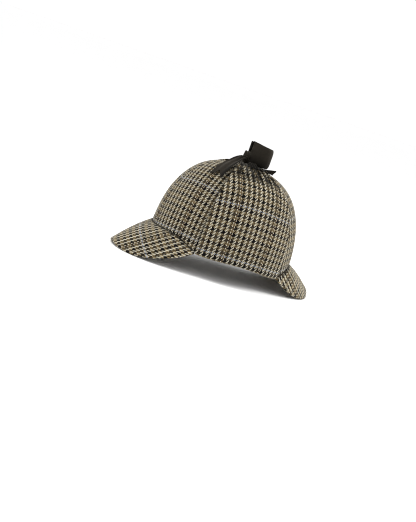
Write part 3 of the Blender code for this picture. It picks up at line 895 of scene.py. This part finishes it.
class Tree:
    """A material's nodes, with a short way to write sums."""

    def __init__(self, name):
        self.material = bpy.data.materials.new(name)
        self.material.use_nodes = True
        self.nodes = self.material.node_tree.nodes
        self.links = self.material.node_tree.links
        self.shader = self.nodes["Principled BSDF"]

    def add(self, kind, inputs=None, **settings):
        node = self.nodes.new(kind)
        for name, value in settings.items():
            setattr(node, name, value)
        for name, value in (inputs or {}).items():
            self.put(node.inputs[name], value)
        return node

    def put(self, socket, value):
        if isinstance(value, bpy.types.NodeSocket):
            self.links.new(value, socket)
        else:
            socket.default_value = value

    def calc(self, operation, *values):
        node = self.add("ShaderNodeMath", operation=operation)
        for socket, value in zip(node.inputs, values):
            self.put(socket, value)
        return node.outputs[0]

    def mix(self, factor, a, b):
        """Colour a where the factor is 0 and b where it is 1."""
        node = self.add("ShaderNodeMix", data_type="RGBA")
        self.put(node.inputs[0], factor)
        self.put(node.inputs[6], a)
        self.put(node.inputs[7], b)
        return node.outputs[2]

    def level(self, factor, a, b):
        """Number a where the factor is 0 and b where it is 1."""
        return self.add("ShaderNodeMix", {0: factor, 2: a, 3: b}).outputs[0]

    def lit(self):
        """What the surface's painted shade leaves of its colour, from 0 to 1, or a little more where light
        is painted.
        """
        painted_shade = self.add("ShaderNodeAttribute", attribute_name="PaintedShade").outputs["Fac"]
        return self.calc("SUBTRACT", 1.0, painted_shade)

    def shade(self, colour, strength):
        """A colour multiplied by a number."""
        node = self.add("ShaderNodeVectorMath", operation="SCALE")
        self.put(node.inputs["Vector"], colour)
        self.put(node.inputs["Scale"], strength)
        return node.outputs[0]

    def cloth(self):
        """Place on the flat cloth, in metres."""
        places = self.add("ShaderNodeUVMap", uv_map="Cloth")
        split = self.add("ShaderNodeSeparateXYZ", {"Vector": places.outputs[0]})
        return split.outputs[0], split.outputs[1]

    def noise(self, x, y, scale, detail=2.0):
        """Smooth noise from 0 to 1."""
        place = self.add("ShaderNodeCombineXYZ", {"X": x, "Y": y}).outputs[0]
        inputs = {"Vector": place, "Scale": scale, "Detail": detail}
        return self.add("ShaderNodeTexNoise", inputs).outputs["Fac"]

    def each(self, number, seed):
        """A steady random number from 0 to 1 for each whole number."""
        moved = self.calc("ADD", number, seed)
        return self.add("ShaderNodeTexWhiteNoise", {"W": moved}, noise_dimensions="1D").outputs["Value"]

    def in_band(self, number, every, start, width):
        """1 where a whole number falls in a band that repeats."""
        moved = self.calc("SUBTRACT", number, start)
        return self.calc("LESS_THAN", self.calc("FLOORED_MODULO", moved, every), width - 0.5)

    def hump(self, value):
        """0 at 0 and 1, and 1 halfway."""
        rest = self.calc("SUBTRACT", 1.0, value)
        return self.calc("MULTIPLY", 4.0, self.calc("MULTIPLY", value, rest))

    def set_shader(self, colour, height, bump, strength, **inputs):
        """Sets the shader's colour, its bump, which is so many metres deep, and its other inputs."""
        bumps = {"Height": height, "Distance": bump, "Strength": strength}
        self.put(self.shader.inputs["Base Color"], colour)
        self.put(self.shader.inputs["Normal"], self.add("ShaderNodeBump", bumps).outputs[0])
        for name, value in inputs.items():
            self.put(self.shader.inputs[name.replace("_", " ")], value)


def make_tweed():
    """A houndstooth of four light and four dark threads in a two-and-two twill, with an overcheck."""
    tree = Tree("tweed")
    calc = tree.calc
    u, v = tree.cloth()
    drift = calc("MULTIPLY", calc("SUBTRACT", tree.noise(u, v, 90.0), 0.5), 0.9)
    x = calc("ADD", calc("DIVIDE", u, WARP_PITCH), drift)
    y = calc("ADD", calc("DIVIDE", v, WEFT_PITCH), drift)
    i = calc("FLOOR", x)
    j = calc("FLOOR", y)
    twill = calc("FLOORED_MODULO", calc("SUBTRACT", i, j), TWILL_THREADS)
    warp_up = calc("LESS_THAN", twill, 1.5)

    # Four light and four dark threads each way; the dark ones take turns between two colours.
    black, brown = (0.005, 0.005, 0.005, 1), (0.074, 0.057, 0.035, 1)
    drab, umber = (0.040, 0.033, 0.022, 1), (0.008, 0.007, 0.006, 1)
    cream, rust = (0.69, 0.64, 0.505, 1), (0.135, 0.088, 0.048, 1)
    tan, sky = (0.262, 0.198, 0.104, 1), (0.27, 0.285, 0.315, 1)
    dark = tree.mix(tree.in_band(i, 2 * CHECK_THREADS, 4, 4), brown, black)
    warp = tree.mix(tree.in_band(i, CHECK_THREADS, 0, 4), dark, cream)
    warp = tree.mix(tree.in_band(i, OVERCHECK_THREADS, 1, 2), warp, rust)
    dark = tree.mix(tree.in_band(j, 2 * CHECK_THREADS, 4, 4), umber, drab)
    weft = tree.mix(tree.in_band(j, CHECK_THREADS, 0, 4), dark, tan)
    weft = tree.mix(tree.in_band(j, OVERCHECK_THREADS, 1, 2), weft, sky)

    # Uneven threads: each has its own tone, and fibres along it.
    warp_strand = tree.noise(calc("MULTIPLY", x, 2.5), calc("MULTIPLY", y, 0.35), 1.0, 3.0)
    weft_strand = tree.noise(calc("MULTIPLY", x, 0.35), calc("MULTIPLY", y, 2.5), 1.0, 3.0)
    warp_tone = calc("MULTIPLY_ADD", tree.each(i, 0.5), 0.50, 0.75)
    weft_tone = calc("MULTIPLY_ADD", tree.each(j, 900.5), 0.60, 0.70)
    warp_tone = calc("MULTIPLY", warp_tone, calc("MULTIPLY_ADD", warp_strand, 1.6, 0.20))
    weft_tone = calc("MULTIPLY", weft_tone, calc("MULTIPLY_ADD", weft_strand, 2.0, 0.0))
    colour = tree.mix(warp_up, tree.shade(weft, weft_tone), tree.shade(warp, warp_tone))

    # The weave's height: round threads that arch over the two that they cross.
    warp_round = tree.hump(calc("FRACT", x))
    weft_round = tree.hump(calc("FRACT", y))
    warp_float = calc("FLOORED_MODULO", calc("ADD", calc("SUBTRACT", y, i), 1.0), TWILL_THREADS)
    weft_float = calc("FLOORED_MODULO", calc("SUBTRACT", calc("SUBTRACT", x, j), 2.0), TWILL_THREADS)
    warp_arch = calc("MULTIPLY_ADD", tree.hump(calc("MULTIPLY", warp_float, 0.5)), 0.45, 0.55)
    weft_arch = calc("MULTIPLY_ADD", tree.hump(calc("MULTIPLY", weft_float, 0.5)), 0.45, 0.55)
    warp_high = calc("MULTIPLY", calc("SQRT", warp_round), warp_arch)
    weft_high = calc("MULTIPLY", calc("SQRT", weft_round), weft_arch)
    high = tree.level(warp_up, weft_high, warp_high)
    hair = tree.noise(u, v, 2600.0, 4.0)
    # Painted shade: colour darkened in the grooves between threads and towards the ends of each float,
    # then by the surface's painted shade.
    painted_groove_shade = calc("MULTIPLY_ADD", calc("POWER", high, 1.6), 0.86, 0.062)
    colour = tree.shade(colour, calc("MULTIPLY", painted_groove_shade, tree.lit()))
    height = calc("ADD", high, calc("MULTIPLY", hair, 0.6))
    tree.set_shader(
        colour,
        height,
        bump=TWEED_BUMP,
        strength=0.8,
        Roughness=0.95,
        Specular_IOR_Level=0.06,
        Sheen_Weight=0.29,
        Sheen_Roughness=0.28,
        Sheen_Tint=(0.95, 0.90, 0.80, 1),
    )
    return tree.material


def make_ribbon():
    """Grosgrain: ribs across the ribbon and a plain woven edge."""
    tree = Tree("ribbon")
    calc = tree.calc
    u, v = tree.cloth()
    wander = tree.noise(calc("MULTIPLY", u, 0.3), v, 220.0)
    rib = calc("ADD", calc("DIVIDE", v, RIB_PITCH), calc("MULTIPLY", wander, 0.5))
    round_rib = calc("SQRT", tree.hump(calc("FRACT", rib)))
    edge = calc("GREATER_THAN", calc("ABSOLUTE", u), RIBBON_WIDTH / 2 - RIBBON_SELVEDGE)
    plain = calc("SINE", calc("MULTIPLY", calc("ADD", u, v), 9000.0))
    high = tree.level(edge, round_rib, calc("MULTIPLY_ADD", plain, 0.2, 0.8))
    fibre = tree.noise(calc("MULTIPLY", u, 0.15), v, 5200.0, 3.0)
    tone_and_painted_shade = calc("MULTIPLY_ADD", tree.noise(u, v, 70.0), 0.5, 0.75)
    # Painted shade between the ribs, on top of the ribbon's own uneven tone and fibres; then the surface's
    # painted shade.
    tone_and_painted_shade = calc("MULTIPLY", tone_and_painted_shade, calc("MULTIPLY_ADD", calc("POWER", high, 3.0), 0.6, 0.5))
    tone_and_painted_shade = calc("MULTIPLY", tone_and_painted_shade, calc("MULTIPLY_ADD", fibre, 0.5, 0.75))
    colour = tree.shade((0.0200, 0.0168, 0.0124), calc("MULTIPLY", tone_and_painted_shade, tree.lit()))
    height = calc("ADD", high, calc("MULTIPLY", fibre, 0.25))
    tree.set_shader(
        colour,
        height,
        bump=RIBBON_BUMP,
        strength=0.7,
        Roughness=0.62,
        Specular_IOR_Level=0.05,
        Sheen_Weight=0.10,
        Sheen_Roughness=0.4,
        Sheen_Tint=(1.0, 0.88, 0.72, 1),
    )
    return tree.material


def make_hat():
    tweed = make_tweed()
    ribbon = make_ribbon()
    sides = ("side_left", "rear_left", "rear_right", "side_right", "front_right", "front_left")
    for number, side in enumerate(sides):
        make_gore(side, number, tweed)
    make_flap("ear_flap_left", False, tweed)
    make_flap("ear_flap_right", True, tweed)
    for node, peak in PEAKS.items():
        make_peak(node, peak, tweed)
    make_tie("tie_left", False, ribbon)
    make_tie("tie_right", True, ribbon)
    for node, loop in LOOPS.items():
        make_loop(node, loop, ribbon)
    for node, tail in TAILS.items():
        make_tail(node, tail, ribbon)
    make_knot(ribbon)


def direction(azimuth, elevation):
    """From the hat towards a camera or a lamp; azimuth 0 is in front of the hat and 90 at its left."""
    a = math.radians(azimuth)
    e = math.radians(elevation)
    return Vector((math.sin(a) * math.cos(e), -math.cos(a) * math.cos(e), math.sin(e)))


def make_camera():
    """The photograph's view, turned to hold the hat where the photograph has it."""
    back = direction(CAMERA_AZIMUTH, CAMERA_ELEVATION)
    level = Vector((-back.y, back.x, 0)).normalized()
    upright = back.cross(level)
    turn = Matrix.Rotation(math.radians(CAMERA_ROLL), 3, back)
    right = turn @ level
    up = turn @ upright
    target = Vector(CENTRE) + Vector((0, 0, CAMERA_TARGET_RISE))
    place = target + back * CAMERA_DISTANCE
    aside = (TARGET_PIXEL[0] - IMAGE_WIDTH / 2) / PIXELS_PER_METRE
    above = (IMAGE_HEIGHT / 2 - TARGET_PIXEL[1]) / PIXELS_PER_METRE
    aim = target - right * aside - up * above
    back = (place - aim).normalized()
    right = up.cross(back).normalized()
    up = back.cross(right)
    data = bpy.data.cameras.new("camera")
    data.sensor_fit = "HORIZONTAL"
    data.sensor_width = SENSOR_WIDTH
    data.lens = SENSOR_WIDTH * CAMERA_DISTANCE * PIXELS_PER_METRE / IMAGE_WIDTH
    camera = bpy.data.objects.new("camera", data)
    camera.matrix_world = Matrix.Translation(place) @ Matrix((right, up, back)).transposed().to_4x4()
    bpy.context.scene.collection.objects.link(camera)
    bpy.context.scene.camera = camera


def make_lamp(name, azimuth, elevation, power):
    data = bpy.data.lights.new(name, "AREA")
    data.shape = "DISK"
    data.size = LAMP_SIZE
    data.energy = power
    lamp = bpy.data.objects.new(name, data)
    way = direction(azimuth, elevation)
    lamp.location = Vector((0, 0, LAMP_TARGET_HEIGHT)) + way * LAMP_DISTANCE
    lamp.rotation_euler = way.to_track_quat("Z", "Y").to_euler()
    bpy.context.scene.collection.objects.link(lamp)


def make_studio():
    """A pale floor under an even white sky, with a soft lamp before the hat and one behind it."""
    data = bpy.data.meshes.new("floor")
    size = FLOOR_HALF_SIZE
    corners = [(-size, -size, 0), (size, -size, 0), (size, size, 0), (-size, size, 0)]
    data.from_pydata(corners, [], [(0, 1, 2, 3)])
    floor = bpy.data.objects.new("floor", data)
    floor.location = (0, 0, FLOOR_HEIGHT)
    bpy.context.scene.collection.objects.link(floor)
    tree = Tree("floor")
    tree.put(tree.shader.inputs["Base Color"], (0.97, 0.97, 0.97, 1))
    tree.put(tree.shader.inputs["Roughness"], 0.9)
    data.materials.append(tree.material)
    world = bpy.data.worlds.new("sky")
    world.use_nodes = True
    sky = world.node_tree.nodes["Background"]
    sky.inputs["Color"].default_value = (1.0, 1.0, 1.0, 1)
    sky.inputs["Strength"].default_value = 1.03
    bpy.context.scene.world = world
    make_lamp("key", azimuth=-5, elevation=56, power=13.0)
    make_lamp("fill", azimuth=168, elevation=40, power=18.0)
    bpy.context.scene.view_settings.view_transform = "Standard"
    bpy.context.scene.cycles.denoising_prefilter = "NONE"
    bpy.context.scene.cycles.filter_width = 1.1


make_hat()
make_camera()
make_studio()
